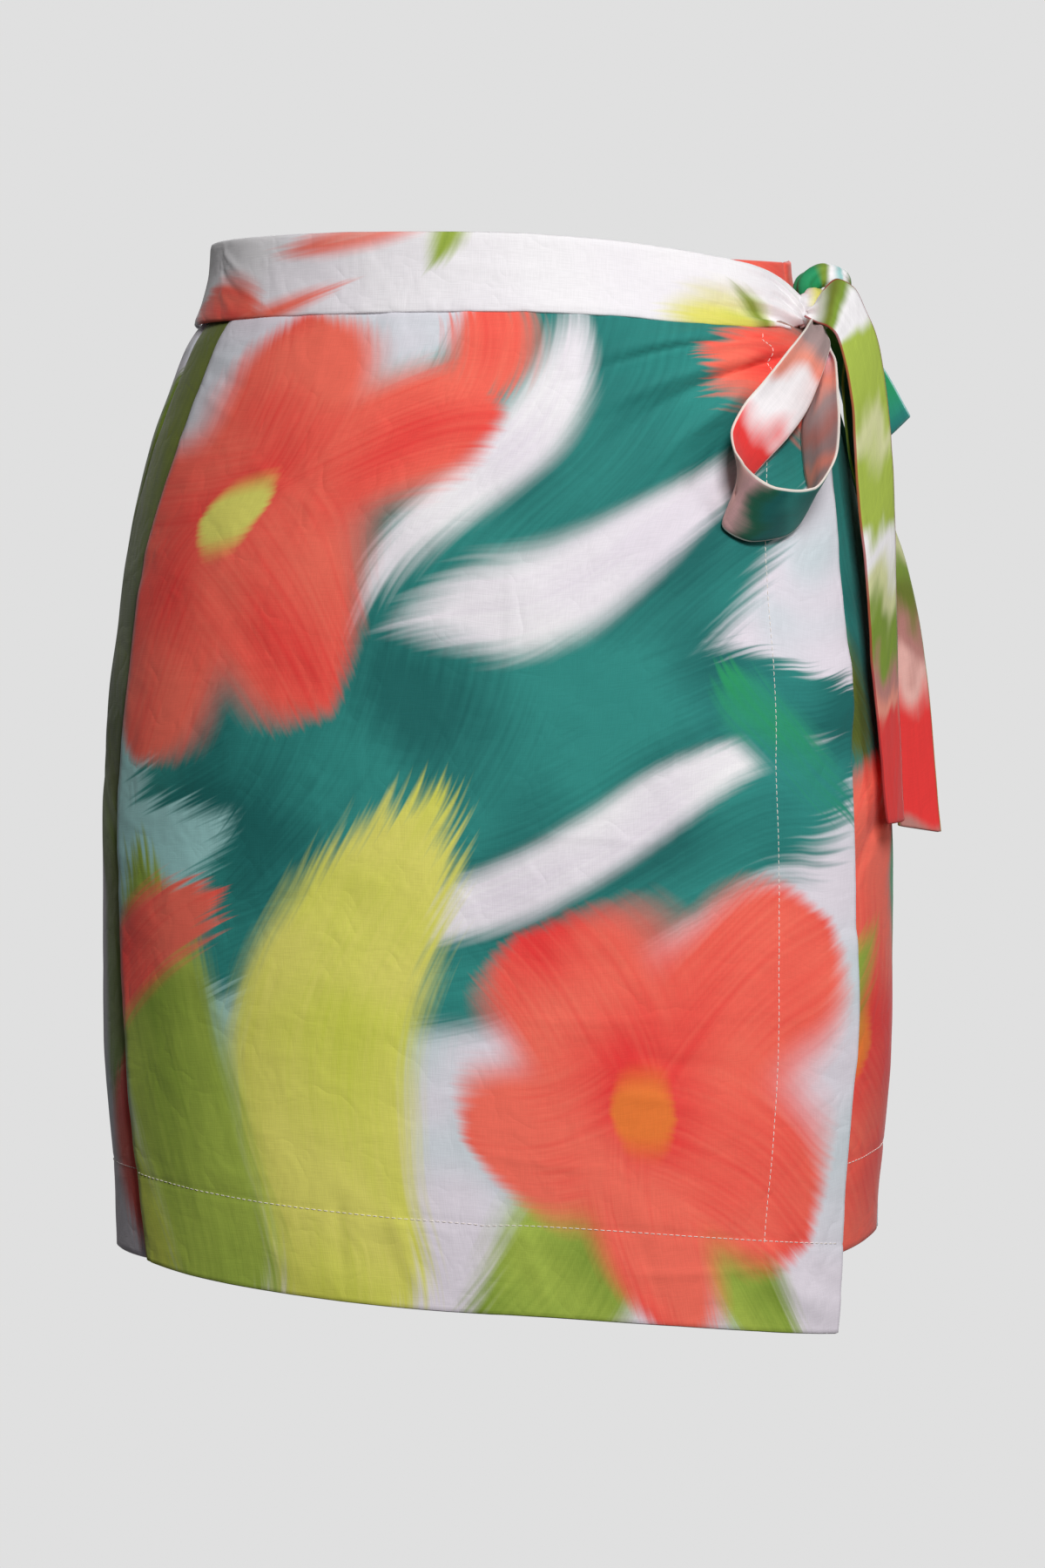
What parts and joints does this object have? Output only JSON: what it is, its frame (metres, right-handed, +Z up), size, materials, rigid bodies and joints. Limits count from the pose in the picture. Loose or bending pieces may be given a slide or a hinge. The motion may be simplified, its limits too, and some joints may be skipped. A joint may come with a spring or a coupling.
{
  "type": "wrap skort",
  "caption": "Wrap skort in worn, hollow form: shorts with a waistband, and a wrap front panel whose band ties in a bow at the side.",
  "frame": {"origin": "middle of the waist opening, level with the top of the waistband", "axes": "+Z up, +X to the wearer's left, -Y to the front"},
  "size_m": [0.3727, 0.252, 0.4796],
  "materials": {
    "shorts_cloth": "smooth printed cotton",
    "band_cloth": "smooth printed cotton, interfaced",
    "wrap_cloth": "smooth printed cotton",
    "tie_cloth": "smooth printed cotton, double",
    "stitching": "matt sewing thread"
  },
  "bodies": {
    "root": {"shorts_front_left": "shorts_cloth", "shorts_back_left": "shorts_cloth", "shorts_front_right": "shorts_cloth", "shorts_back_right": "shorts_cloth", "shorts_waistband_front": "band_cloth", "shorts_waistband_back": "band_cloth", "wrap_panel": "wrap_cloth", "wrap_waistband": "band_cloth", "tie_knot": "tie_cloth", "tie_knot_strand": "tie_cloth", "bow_loop_front": "tie_cloth", "bow_loop_back": "tie_cloth", "tie_end_front": "tie_cloth", "tie_end_back": "tie_cloth"}
  },
  "joints": []
}
